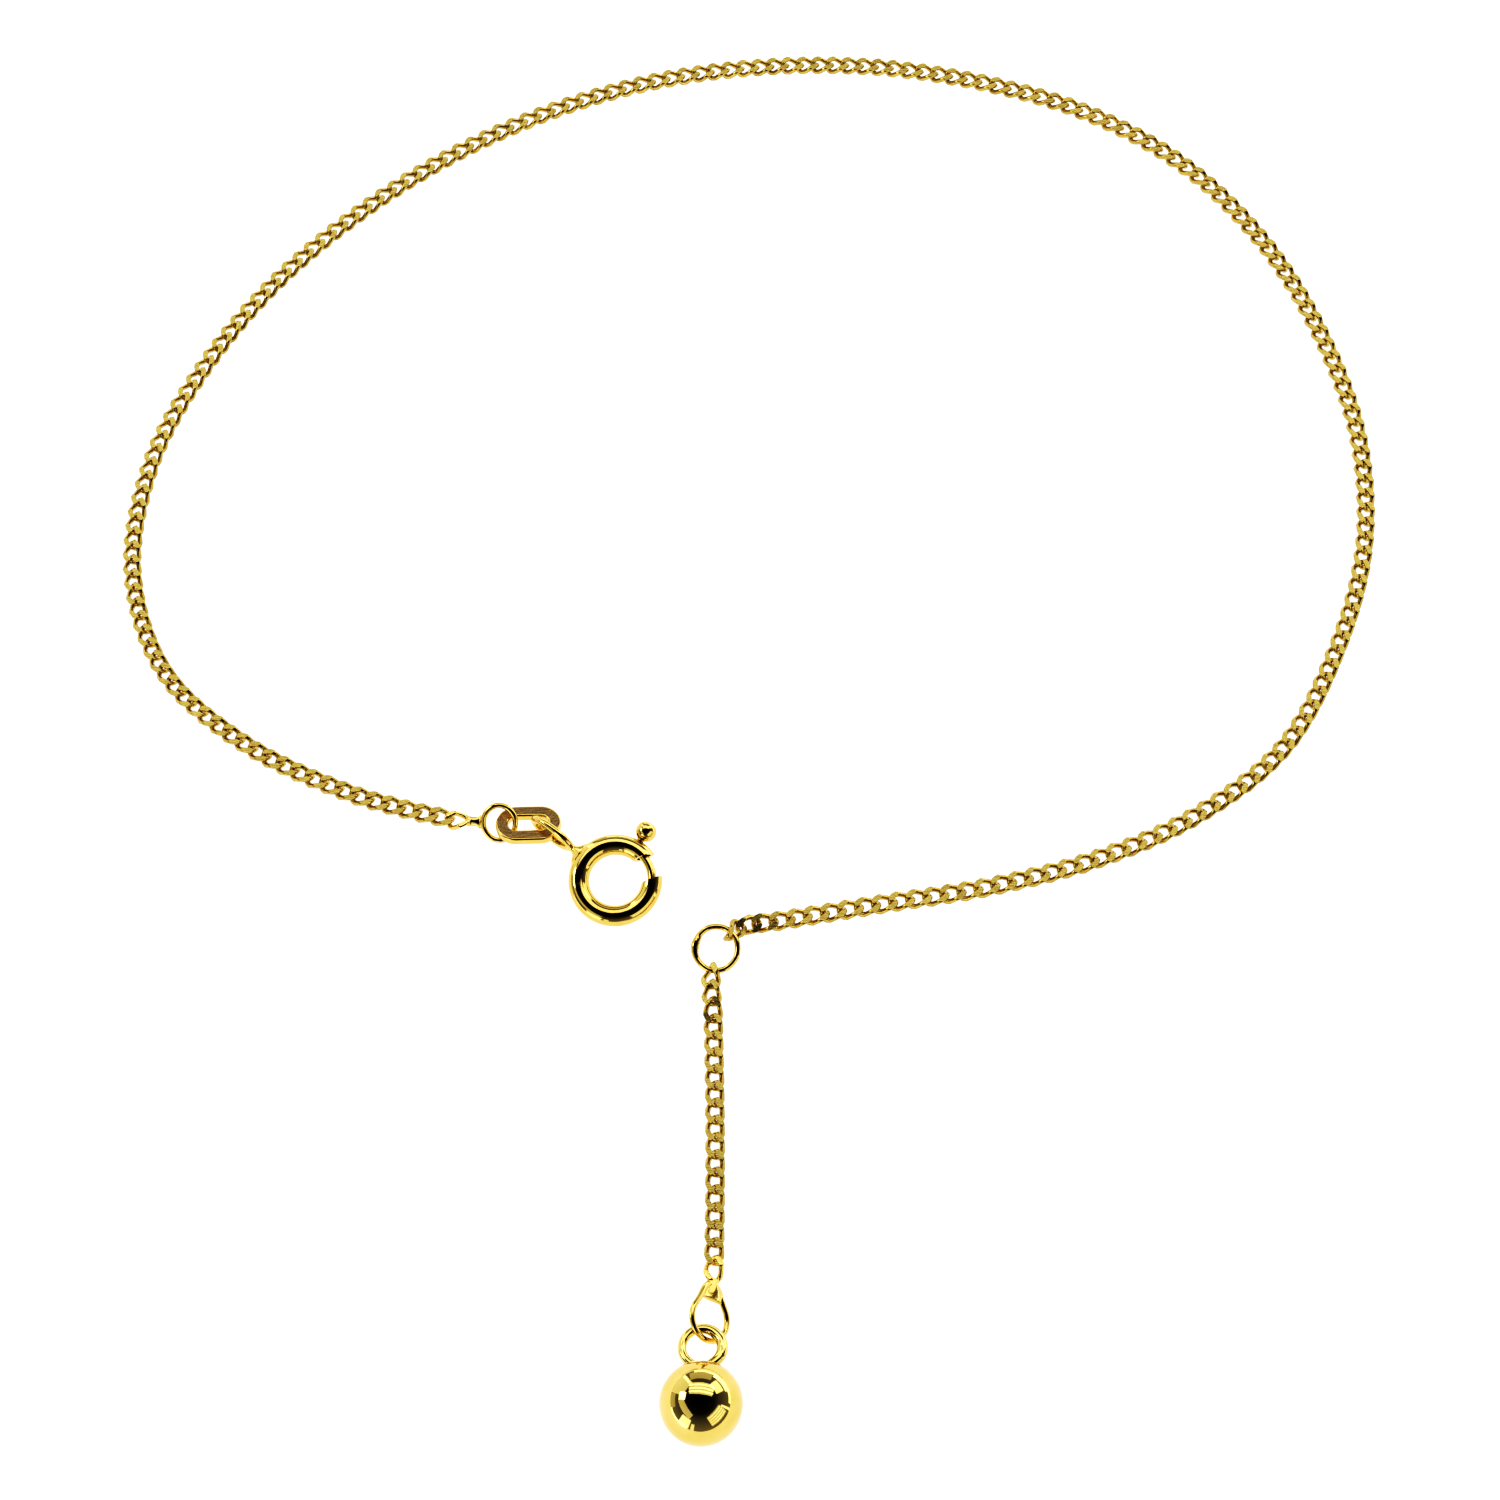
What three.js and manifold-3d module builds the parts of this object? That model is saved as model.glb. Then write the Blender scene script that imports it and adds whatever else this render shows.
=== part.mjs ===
// A fine gold chain anklet, lying open on a flat surface.
// Millimetres, Z up, the surface at z = 0, the origin in the middle of the anklet's outline.
// A curb chain runs in one loop from the spring ring to a jump ring, and a short
// extender of the same chain hangs from that ring and ends in a polished ball.

import * as THREE from 'three';
import { mergeVertices } from 'three/addons/utils/BufferGeometryUtils.js';
import Module from 'manifold-3d';

const wasm = await Module();
wasm.setup();

// Curb chain: soldered oval links, each twisted and ground flat above and below
const LINK_WIRE = 0.31;
const LINK_LENGTH = 1.76;
const LINK_WIDTH = 1.23;
const LINK_TWIST = 0.25;
const LINK_PLAY = 0.04;
const CHAIN_THICKNESS = 0.66;
const LINK_STEPS = 14;
const LINK_SIDES = 6;

// The chain's middle line, from the link soldered to the clasp's connector round to the jump ring
const CHAIN_ROUTE = [
  [-18.7, -10.1], [-22.6, -9.1], [-26.0, -8.0], [-32.8, -4.6], [-38.7, 0.7], [-41.6, 8.3],
  [-41.1, 16.7], [-38.1, 24.3], [-33.6, 31.2], [-28.0, 37.0], [-21.5, 41.9], [-14.3, 45.7],
  [-6.7, 48.2], [1.3, 49.3], [9.3, 49.1], [17.2, 47.5], [24.7, 44.6], [31.3, 39.9],
  [36.4, 33.3], [39.8, 25.5], [41.6, 17.3], [41.2, 8.9], [38.6, 1.1], [34.6, -5.7],
  [28.7, -10.3], [22.2, -13.2], [15.3, -15.0], [8.4, -16.1], [1.12, -17.3],
];
const CHAIN_STEPS = 78;
const TUBE_END_GAP = 0.3;

// The links next to the jump ring stand up to pass round it
const RING_END_LINKS = [
  { at: [-0.81, -17.96, 0.85], turn: 228, slope: 19.5, roll: -52 },
  { at: [0.05, -17.47, 0.53], turn: 199, slope: 6.5, roll: -26 },
  { at: [1.12, -17.3, 0.45], turn: 186, slope: 1, roll: -7 },
];
const CLASP_END_LIFTS = [0.04, 0];

// Connector at the clasp's end: a round ring soldered to the chain's last link
const CONNECTOR_WIRE = 0.35;
const CONNECTOR_RING_LENGTH = 2.46;
const CONNECTOR_RING_WIDTH = 2.65;
const CONNECTOR_RING_HEIGHT = 0.83;
const CONNECTOR_RING_TILT = 33;
const CONNECTOR_HEADING = -7;
const CONNECTOR_LINK_LIFT = 0.1;
const NECK_LENGTH = 0.70;
const NECK_WAIST = 0.64;
const NECK_THICKNESS = 0.30;
const WEB_SPREAD = 40;

// Oval link: stamped from sheet, flat on both faces, its near edge raised on the wires under it
const OVAL_LENGTH = 4.2;
const OVAL_WIDTH = 2.7;
const OVAL_BAND = 0.80;
const OVAL_THICKNESS = 0.56;
const OVAL_EDGE = 0.08;
const OVAL_TURN = 2;
const OVAL_TILT = 14;
const OVAL_SLOPE = -3;
const OVAL_BEARING = -5;
const OVAL_PLAY = 0.30;

// Spring ring: a hollow round tube bent into a ring, with a mouth and a bail, its far edge raised
const CLASP_DIAMETER = 6.0;
const CLASP_TUBE = 1.33;
const CLASP_BORE = 0.86;
const CLASP_TILT = 7;
const CLASP_STEPS = 40;
const CLASP_SIDES = 12;
const MOUTH_WIDTH = 1.6;
const MOUTH_HEADING = 19;
const BAIL_WIRE = 0.47;
const BAIL_LENGTH = 3.47;
const BAIL_HEIGHT = 2.12;
const BAIL_HEADING = -37.9;
const BAIL_LEAN = 4;
const BAIL_PLAY = 0.12;
const BAIL_OFFSET = 0.18;
const BAIL_STEM_LENGTH = 0.47;
const BAIL_STEM = 0.62;

// The sprung bolt inside the ring: a curved tongue, and a lever that ends in a knob
const BOLT_WIRE = 0.57;
const BOLT_START = -5;
const BOLT_END = 74;
const LEVER_HEADING = 58.7;
const LEVER_TRAVEL = 41;
const LEVER_WIRE = 0.40;
const LEVER_CLEARANCE = 0.11;
const KNOB_DIAMETER = 1.28;
const KNOB_THICKNESS = 1.05;
const KNOB_STAND_OFF = 0.24;

// Jump ring that joins the chain and the extender
const JUMP_RING_WIDTH = 3.1;
const JUMP_RING_LENGTH = 3.2;
const JUMP_RING_WIRE = 0.37;
const JUMP_RING_CENTRE = [-1.94, -19.12, 0.82];
const JUMP_RING_TILT = 10;
const JUMP_RING_JOINT_HEADING = 170;

// Extender: the same curb chain, hanging straight from the jump ring
const EXTENDER_LINKS = 17;
const EXTENDER_FIRST_LINKS = [
  { at: [-2.23, -20.83, 0.56], turn: -96.5, slope: -5, roll: 30 },
  { at: [-2.22, -21.93, 0.49], turn: -90, slope: -2.5, roll: 18 },
  { at: [-2.14, -23.02, 0.41], turn: -88.5, slope: -6, roll: 10 },
];
const EXTENDER_START = [-2.12, -24.11];
const EXTENDER_START_HEADING = -88;
const EXTENDER_END_HEADING = -90.9;
const EXTENDER_LAST_LIFTS = [0.02, 0.05, 0.1];
const EXTENDER_PLAY = 0.055;

// Connector at the ball's end: a ring with a pointed top, soldered to the extender's last link
const BALL_CONNECTOR_DIAMETER = 3.08;
const BALL_CONNECTOR_ROLL = 43;
const BALL_CONNECTOR_HEADING = -94;
const BALL_CONNECTOR_SLOPE = 4;
const BALL_NECK_LENGTH = 0.66;
const BALL_NECK_WAIST = 1.0;
const BALL_NECK_LIFT = 0.22;

// Ball: hollow and polished, with a ring soldered to it, resting on the surface
const BALL_DIAMETER = 4.9;
const BALL_RING_DIAMETER = 2.92;
const BALL_RING_WIRE = 0.55;
const BALL_RING_HEIGHT = 1.6;
const BALL_RING_SINK = 0.43;
const BALL_RING_OFFSET = -0.41;
const BALL_RING_REACH = 1.83;

const WIRE_SIDES = 10;
const FILM = 0.01;
const SEAM = 0.0005;

// Worked out from the sizes above
const chainMiddle = CHAIN_THICKNESS / 2;
const linkPitch = LINK_LENGTH - 2 * LINK_WIRE - LINK_PLAY;
const extenderPitch = LINK_LENGTH - 2 * LINK_WIRE - EXTENDER_PLAY;

const gold = { color: 0xd8a531, metalness: 1, roughness: 0.16 };
const brushedGold = { color: 0xb5863a, metalness: 1, roughness: 0.38 };

const rad = THREE.MathUtils.degToRad;
const deg = THREE.MathUtils.radToDeg;

function heading(angle) {
  return new THREE.Vector3(Math.cos(rad(angle)), Math.sin(rad(angle)), 0);
}

// A place and an attitude: turned in plan, then raised at its far end, then rolled about its length
function placement(centre, turn, slope = 0, roll = 0) {
  const attitude = new THREE.Matrix4().makeRotationZ(rad(turn))
    .multiply(new THREE.Matrix4().makeRotationY(rad(-slope)))
    .multiply(new THREE.Matrix4().makeRotationX(rad(roll)));
  return attitude.setPosition(centre);
}

function polygon(sides, width, height = width) {
  const corners = Array.from({ length: sides }, (_, i) => {
    const angle = (2 * Math.PI * (i + 0.5)) / sides;
    return new THREE.Vector2((width / 2) * Math.cos(angle), (height / 2) * Math.sin(angle));
  });
  return new THREE.Shape(corners);
}

function welded(geometry) {
  geometry.deleteAttribute('normal');
  geometry.deleteAttribute('uv');
  return mergeVertices(geometry, 1e-5);
}

// Wire of the given section swept round a closed path, without the end caps
function wireLoop(points, steps, section) {
  const extrudePath = new THREE.CatmullRomCurve3(points, true);
  const swept = new THREE.ExtrudeGeometry(section, { steps, extrudePath });
  const sides = swept.groups[1];
  const loop = new THREE.BufferGeometry();
  const corners = swept.attributes.position.array.slice(3 * sides.start, 3 * (sides.start + sides.count));
  loop.setAttribute('position', new THREE.BufferAttribute(corners, 3));
  return mergeVertices(loop, 1e-5);
}

function ovalPoints(length, width, count, rise = () => 0) {
  return Array.from({ length: count }, (_, i) => {
    const angle = (2 * Math.PI * i) / count;
    return new THREE.Vector3((length / 2) * Math.cos(angle), (width / 2) * Math.sin(angle), rise(angle));
  });
}

function ovalRing(length, width, wire, steps, sides = WIRE_SIDES) {
  return wireLoop(ovalPoints(length - wire, width - wire, 16), steps, polygon(sides, wire));
}

function torus(diameter, thickness, steps, sides) {
  const profile = Array.from({ length: sides + 1 }, (_, i) => {
    const angle = (2 * Math.PI * (i % sides)) / sides;
    const r = thickness / 2;
    return new THREE.Vector2(diameter / 2 - r + r * Math.cos(angle), r * Math.sin(angle));
  });
  return welded(new THREE.LatheGeometry(profile, steps)).rotateX(Math.PI / 2);
}

function solid(geometry, matrix) {
  const placed = geometry.clone();
  if (matrix) placed.applyMatrix4(matrix);
  const merged = placed.index && !placed.attributes.uv ? placed : welded(placed);
  const mesh = new wasm.Mesh({
    numProp: 3,
    vertProperties: new Float32Array(merged.attributes.position.array),
    triVerts: new Uint32Array(merged.index.array),
    tolerance: SEAM,
  });
  mesh.merge();
  return new wasm.Manifold(mesh);
}

function geometryOf(manifold) {
  const mesh = manifold.getMesh();
  const geometry = new THREE.BufferGeometry();
  geometry.setAttribute('position', new THREE.BufferAttribute(new Float32Array(mesh.vertProperties), 3));
  geometry.setIndex(new THREE.BufferAttribute(new Uint32Array(mesh.triVerts), 1));
  return geometry;
}

function piece(name, geometry, finish) {
  geometry.computeVertexNormals();
  const mesh = new THREE.Mesh(geometry, new THREE.MeshStandardMaterial(finish));
  mesh.name = name;
  return mesh;
}

// One curb link, lengthwise along x: its corners rise and fall, and its faces are ground flat
function curbLink() {
  const rise = (angle) => -LINK_TWIST * Math.sin(2 * angle);
  const points = ovalPoints(LINK_LENGTH - LINK_WIRE, LINK_WIDTH - LINK_WIRE, LINK_STEPS, rise);
  const link = wireLoop(points, LINK_STEPS, polygon(LINK_SIDES, LINK_WIRE));
  const position = link.attributes.position;
  for (let i = 0; i < position.count; i += 1) {
    position.setZ(i, THREE.MathUtils.clamp(position.getZ(i), -chainMiddle, chainMiddle));
  }
  return geometryOf(solid(link));
}

function linkPiece(name, place) {
  const mesh = piece(name, curbLink(), gold);
  mesh.applyMatrix4(place);
  return mesh;
}

const route = new THREE.CatmullRomCurve3(
  CHAIN_ROUTE.map(([x, y]) => new THREE.Vector3(x, y, chainMiddle)),
  false,
);
route.arcLengthDivisions = 2000;
const routeLength = route.getLength();
const linkCount = Math.round(routeLength / linkPitch);
const linkStep = routeLength / linkCount;

// The place of link number k, counted from the soldered one at the clasp's end
function chainLinkPlace(k, lift) {
  const centre = route.getPointAt(k / linkCount);
  const along = route.getTangentAt(k / linkCount);
  centre.z += lift;
  return placement(centre, deg(Math.atan2(along.y, along.x)));
}

function listedPlace({ at, turn, slope, roll }) {
  return placement(new THREE.Vector3(...at), turn, slope, roll);
}

// The run of links between the end links: one flat tube as wide and thick as the chain
function mainChain() {
  const clear = LINK_LENGTH / 2 + TUBE_END_GAP;
  const start = CLASP_END_LIFTS.length * linkStep + clear;
  const end = routeLength - clear;
  const points = Array.from({ length: CHAIN_STEPS + 1 }, (_, i) => {
    return route.getPointAt((start + ((end - start) * i) / CHAIN_STEPS) / routeLength);
  });
  const section = polygon(8, CHAIN_THICKNESS / Math.cos(Math.PI / 8), LINK_WIDTH / Math.cos(Math.PI / 8));
  const swept = new THREE.ExtrudeGeometry(section, {
    steps: CHAIN_STEPS,
    extrudePath: new THREE.CatmullRomCurve3(points, false),
  });
  return piece('main_chain', welded(swept), gold);
}

// Solder between a link's end at x = 0 and a ring whose near side is at x = length:
// waisted like an hourglass, and filled out to the ring's middle line, or straight across it
function solderWeb(length, waist, ringRadius, wire, straightAcross) {
  const linkHalf = LINK_WIDTH * 0.36;
  const centre = length + ringRadius + wire / 2;
  const spread = rad(WEB_SPREAD);
  const touch = ringRadius * Math.sin(spread);
  const touchX = centre - ringRadius * Math.cos(spread);
  const pinch = waist - (linkHalf + touch) / 2;
  const web = new THREE.Shape();
  web.moveTo(-LINK_WIRE, linkHalf);
  web.quadraticCurveTo(length * 0.4, pinch, touchX, touch);
  if (straightAcross) web.lineTo(touchX, -touch);
  else web.absarc(centre, 0, ringRadius, Math.PI - spread, Math.PI + spread, false);
  web.quadraticCurveTo(length * 0.4, -pinch, -LINK_WIRE, -linkHalf);
  const plate = new THREE.ExtrudeGeometry(web, {
    depth: NECK_THICKNESS,
    bevelEnabled: false,
    curveSegments: 5,
  });
  plate.translate(0, 0, -NECK_THICKNESS / 2);
  return plate;
}

// The clasp's end of the chain: link, solder and ring, all one piece
const connectorReach = LINK_LENGTH / 2 + NECK_LENGTH + CONNECTOR_RING_LENGTH / 2;
const chainStart = route.getPointAt(0);
chainStart.z += CONNECTOR_LINK_LIFT;
const connectorRise = CONNECTOR_RING_HEIGHT - chainStart.z;
const connectorSlope = deg(Math.asin(connectorRise / connectorReach));
const connectorRun = Math.sqrt(connectorReach ** 2 - connectorRise ** 2);
const connectorRingCentre = chainStart.clone()
  .addScaledVector(heading(CONNECTOR_HEADING), connectorRun)
  .setZ(CONNECTOR_RING_HEIGHT);

function claspEndConnector() {
  const linkEnd = chainStart.clone()
    .addScaledVector(heading(CONNECTOR_HEADING), (LINK_LENGTH / 2) * Math.cos(rad(connectorSlope)));
  linkEnd.z += (LINK_LENGTH / 2) * Math.sin(rad(connectorSlope));
  const ringRadius = (CONNECTOR_RING_LENGTH - CONNECTOR_WIRE) / 2;
  const web = solderWeb(NECK_LENGTH, NECK_WAIST, ringRadius, CONNECTOR_WIRE, false);
  const ring = ovalRing(CONNECTOR_RING_LENGTH, CONNECTOR_RING_WIDTH, CONNECTOR_WIRE, 26);
  const joined = solid(curbLink(), placement(chainStart, CONNECTOR_HEADING, connectorSlope))
    .add(solid(web, placement(linkEnd, CONNECTOR_HEADING, connectorSlope, CONNECTOR_RING_TILT / 2)))
    .add(solid(ring, placement(connectorRingCentre, CONNECTOR_HEADING, 0, CONNECTOR_RING_TILT)));
  return piece('clasp_end_connector', geometryOf(joined), gold);
}

// Oval link: a stadium of sheet with a stadium hole and softened edges
function stadium(shape, length, width) {
  const straight = (length - width) / 2;
  shape.moveTo(-straight, -width / 2);
  shape.lineTo(straight, -width / 2);
  shape.absarc(straight, 0, width / 2, -Math.PI / 2, Math.PI / 2, false);
  shape.lineTo(-straight, width / 2);
  shape.absarc(-straight, 0, width / 2, Math.PI / 2, (3 * Math.PI) / 2, false);
  return shape;
}

const ovalReach = CONNECTOR_RING_LENGTH / 2 - CONNECTOR_WIRE + OVAL_LENGTH / 2 - OVAL_BAND - OVAL_PLAY;
const ovalSpan = (OVAL_WIDTH - OVAL_BAND) / 2;
const bailOnBand = ovalSpan * Math.SQRT1_2;
const ovalMiddle = BAIL_WIRE + BAIL_PLAY + OVAL_THICKNESS / 2
  - (bailOnBand - OVAL_BAND / 2 * Math.SQRT1_2) * Math.sin(rad(OVAL_TILT));
const ovalCentre = connectorRingCentre.clone()
  .addScaledVector(heading(OVAL_BEARING), ovalReach)
  .setZ(ovalMiddle);

function ovalLink() {
  const edge = OVAL_EDGE;
  const sheet = stadium(new THREE.Shape(), OVAL_LENGTH - 2 * edge, OVAL_WIDTH - 2 * edge);
  sheet.holes.push(stadium(
    new THREE.Path(),
    OVAL_LENGTH - 2 * OVAL_BAND + 2 * edge,
    OVAL_WIDTH - 2 * OVAL_BAND + 2 * edge,
  ));
  const geometry = new THREE.ExtrudeGeometry(sheet, {
    depth: OVAL_THICKNESS - 2 * edge,
    bevelThickness: edge,
    bevelSize: edge,
    bevelSegments: 1,
    curveSegments: 8,
  });
  geometry.translate(0, 0, edge - OVAL_THICKNESS / 2);
  const mesh = piece('oval_link', welded(geometry), brushedGold);
  mesh.applyMatrix4(placement(ovalCentre, OVAL_TURN, OVAL_SLOPE, -OVAL_TILT));
  return mesh;
}

// Spring ring: placed from the oval link, whose lower right corner its bail goes round
const bandCorner = heading(OVAL_TURN).multiplyScalar((OVAL_LENGTH - OVAL_WIDTH) / 2 + bailOnBand)
  .addScaledVector(heading(OVAL_TURN - 90), bailOnBand * Math.cos(rad(OVAL_TILT)));
const bailCentre = ovalCentre.clone().add(bandCorner)
  .addScaledVector(heading(BAIL_HEADING), BAIL_OFFSET)
  .setZ(BAIL_HEIGHT / 2 + FILM);
const claspRadius = (CLASP_DIAMETER - CLASP_TUBE) / 2;
const claspCentre = bailCentre.clone()
  .addScaledVector(heading(BAIL_HEADING), BAIL_LENGTH / 2 + BAIL_STEM_LENGTH + CLASP_DIAMETER / 2)
  .setZ(CLASP_TUBE / 2 + claspRadius * Math.sin(rad(CLASP_TILT)) + FILM);
const claspPlace = placement(claspCentre, 0, 0, CLASP_TILT);

function springRingBody() {
  const tube = solid(torus(CLASP_DIAMETER, CLASP_TUBE, CLASP_STEPS, CLASP_SIDES), claspPlace);
  const bail = solid(
    ovalRing(BAIL_LENGTH, BAIL_HEIGHT, BAIL_WIRE, 26, 8),
    placement(bailCentre, BAIL_HEADING, 0, 90 - BAIL_LEAN),
  );
  const bore = solid(torus(2 * claspRadius + CLASP_BORE, CLASP_BORE, CLASP_STEPS, 10), claspPlace);
  const gap = new THREE.BoxGeometry(2 * CLASP_TUBE, MOUTH_WIDTH, 2 * CLASP_TUBE)
    .translate(claspRadius, 0, 0)
    .rotateZ(rad(MOUTH_HEADING));
  const body = tube.add(bail)
    .add(solid(bailStem()))
    .subtract(bore)
    .subtract(solid(gap, claspPlace))
    .subtract(solid(leverSlot(), claspPlace));
  return piece('spring_ring_body', geometryOf(body), gold);
}

// The solder and stem between the bail's end and the ring's tube
function bailStem() {
  const bailEnd = bailCentre.clone().addScaledVector(heading(BAIL_HEADING), BAIL_LENGTH / 2 - BAIL_WIRE);
  const tubeMiddle = heading(BAIL_HEADING).multiplyScalar(-claspRadius).applyMatrix4(claspPlace);
  const along = tubeMiddle.clone().sub(bailEnd);
  const profile = [[0, 0], [0.4, 0], [0.42, 0.35], [0.55, 0.6], [0.8, 1], [0, 1]]
    .map(([r, s]) => new THREE.Vector2(r * BAIL_STEM, s * along.length()));
  const stem = new THREE.LatheGeometry(profile, 10);
  const upright = new THREE.Vector3(0, 1, 0);
  stem.applyQuaternion(new THREE.Quaternion().setFromUnitVectors(upright, along.clone().normalize()));
  return stem.translate(...bailEnd);
}

// The slot in the tube's outer wall that the lever slides along
function leverSlot() {
  const margin = deg((LEVER_WIRE / 2 + LEVER_CLEARANCE) / (CLASP_DIAMETER / 2 - (CLASP_TUBE - CLASP_BORE) / 2));
  const first = rad(LEVER_HEADING - margin);
  const last = rad(LEVER_HEADING + LEVER_TRAVEL + margin);
  const outline = new THREE.Shape();
  outline.absarc(0, 0, CLASP_DIAMETER / 2 + CLASP_TUBE / 2, first, last, false);
  outline.absarc(0, 0, claspRadius, last, first, true);
  const height = LEVER_WIRE + 2 * LEVER_CLEARANCE;
  const slot = new THREE.ExtrudeGeometry(outline, { depth: height, bevelEnabled: false, curveSegments: 10 });
  return slot.translate(0, 0, -height / 2);
}

function springRingBolt() {
  const tongueSteps = 14;
  const points = Array.from({ length: tongueSteps + 1 }, (_, i) => {
    const angle = THREE.MathUtils.lerp(BOLT_START, BOLT_END, i / tongueSteps);
    return heading(angle).multiplyScalar(claspRadius);
  });
  const tongue = new THREE.ExtrudeGeometry(polygon(WIRE_SIDES, BOLT_WIRE), {
    steps: tongueSteps,
    extrudePath: new THREE.CatmullRomCurve3(points, false),
  });
  const knobStart = CLASP_DIAMETER / 2 + KNOB_STAND_OFF;
  const lever = [
    [0, claspRadius], [LEVER_WIRE / 2, claspRadius], [LEVER_WIRE / 2, knobStart],
    ...knobProfile(knobStart), [0, knobStart + KNOB_THICKNESS],
  ].map(([r, along]) => new THREE.Vector2(r, along));
  const turned = new THREE.LatheGeometry(lever, 12)
    .rotateZ(rad(LEVER_HEADING - 90));
  const bolt = solid(tongue).add(solid(turned));
  const mesh = piece('spring_ring_bolt', geometryOf(bolt), gold);
  mesh.applyMatrix4(claspPlace);
  return mesh;
}

// The knob's rounded outline, as radius and distance from the clasp's middle
function knobProfile(start) {
  const rounds = 5;
  return Array.from({ length: rounds }, (_, i) => {
    const angle = Math.PI * ((i + 1) / (rounds + 1));
    return [
      (KNOB_DIAMETER / 2) * Math.sin(angle) ** 0.8,
      start + (KNOB_THICKNESS / 2) * (1 - Math.cos(angle)),
    ];
  });
}

// Jump ring, with the small bead of solder that closes it
function jumpRing() {
  const ring = solid(ovalRing(JUMP_RING_WIDTH, JUMP_RING_LENGTH, JUMP_RING_WIRE, 30));
  const joint = heading(JUMP_RING_JOINT_HEADING).multiplyScalar((JUMP_RING_WIDTH - JUMP_RING_WIRE) / 2);
  const bead = new THREE.SphereGeometry(JUMP_RING_WIRE * 0.62, 8, 6);
  const joined = ring.add(solid(bead, placement(joint, 0)));
  const mesh = piece('extender_jump_ring', geometryOf(joined), gold);
  mesh.applyMatrix4(placement(new THREE.Vector3(...JUMP_RING_CENTRE), 0, 0, JUMP_RING_TILT));
  return mesh;
}

// The extender's links: the first ones stand up round the jump ring, and each of the rest
// is a pitch on from the last and turned a little from it
function extenderPlaces() {
  const centre = new THREE.Vector3(...EXTENDER_START, chainMiddle);
  const straight = EXTENDER_LINKS + 1 - EXTENDER_FIRST_LINKS.length;
  const rest = Array.from({ length: straight }, (_, k) => {
    const turn = THREE.MathUtils.lerp(EXTENDER_START_HEADING, EXTENDER_END_HEADING, k / (straight - 1));
    if (k > 0) centre.addScaledVector(heading(turn), extenderPitch);
    const lift = EXTENDER_LAST_LIFTS[k - (straight - 1 - EXTENDER_LAST_LIFTS.length)] ?? 0;
    return { at: [centre.x, centre.y, centre.z + lift], turn, slope: 0, roll: 0 };
  });
  return [...EXTENDER_FIRST_LINKS, ...rest];
}

const extender = extenderPlaces();

// The ball's end of the extender: the last link, a filled web of solder and a ring that leans over
const ballConnectorRadius = (BALL_CONNECTOR_DIAMETER - CONNECTOR_WIRE) / 2;
const ballConnectorHeight = ballConnectorRadius * Math.sin(rad(BALL_CONNECTOR_ROLL)) + CONNECTOR_WIRE / 2 + FILM;
const lastLink = new THREE.Vector3(...extender[EXTENDER_LINKS].at).setZ(chainMiddle + BALL_NECK_LIFT);
const ballConnectorReach = LINK_LENGTH / 2 + BALL_NECK_LENGTH + BALL_CONNECTOR_DIAMETER / 2;
const ballConnectorRise = ballConnectorHeight - lastLink.z;
const ballConnectorSlope = deg(Math.asin(ballConnectorRise / ballConnectorReach));
const ballConnectorCentre = lastLink.clone()
  .addScaledVector(heading(BALL_CONNECTOR_HEADING), Math.sqrt(ballConnectorReach ** 2 - ballConnectorRise ** 2))
  .setZ(ballConnectorHeight);

function ballEndConnector() {
  const webStart = lastLink.clone().lerp(ballConnectorCentre, LINK_LENGTH / 2 / ballConnectorReach);
  const web = solderWeb(BALL_NECK_LENGTH, BALL_NECK_WAIST, ballConnectorRadius, CONNECTOR_WIRE, true);
  const ring = ovalRing(BALL_CONNECTOR_DIAMETER, BALL_CONNECTOR_DIAMETER, CONNECTOR_WIRE, 30);
  const leaning = placement(
    ballConnectorCentre,
    BALL_CONNECTOR_HEADING,
    BALL_CONNECTOR_SLOPE,
    -BALL_CONNECTOR_ROLL,
  );
  const joined = solid(curbLink(), placement(lastLink, BALL_CONNECTOR_HEADING, ballConnectorSlope))
    .add(solid(web, placement(webStart, BALL_CONNECTOR_HEADING, ballConnectorSlope, -BALL_CONNECTOR_ROLL)))
    .add(solid(ring, leaning));
  return piece('ball_end_connector', geometryOf(joined), gold);
}

// Ball and ring: the ring's flat side points at the ball's middle, and dips away from it
const ballRingReach = (BALL_DIAMETER + BALL_RING_DIAMETER) / 2 - BALL_RING_SINK;
const ballRingDip = deg(Math.asin((BALL_DIAMETER / 2 - BALL_RING_HEIGHT) / ballRingReach));
const ballRingCentre = ballConnectorCentre.clone()
  .add(new THREE.Vector3(BALL_RING_OFFSET, -BALL_RING_REACH, 0))
  .setZ(BALL_RING_HEIGHT);
const ballCentre = ballRingCentre.clone()
  .add(new THREE.Vector3(0, -ballRingReach * Math.cos(rad(ballRingDip)), 0))
  .setZ(BALL_DIAMETER / 2);

function ballDrop() {
  const ball = solid(new THREE.SphereGeometry(BALL_DIAMETER / 2, 28, 18), placement(ballCentre, 0));
  const ring = solid(
    torus(BALL_RING_DIAMETER, BALL_RING_WIRE, 26, WIRE_SIDES),
    placement(ballRingCentre, 90, -ballRingDip),
  );
  return piece('ball_drop', geometryOf(ball.add(ring)), gold);
}

const anklet = new THREE.Group();
anklet.add(mainChain());
CLASP_END_LIFTS.forEach((lift, i) => {
  anklet.add(linkPiece(`clasp_end_link_${i + 1}`, chainLinkPlace(i + 1, lift)));
});
RING_END_LINKS.forEach((link, i) => {
  anklet.add(linkPiece(`ring_end_link_${i + 1}`, listedPlace(link)));
});
anklet.add(claspEndConnector(), ovalLink(), springRingBody(), springRingBolt(), jumpRing());
extender.slice(0, EXTENDER_LINKS).forEach((link, k) => {
  anklet.add(linkPiece(`extender_link_${String(k + 1).padStart(2, '0')}`, listedPlace(link)));
});
anklet.add(ballEndConnector(), ballDrop());

export default anklet;
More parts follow.
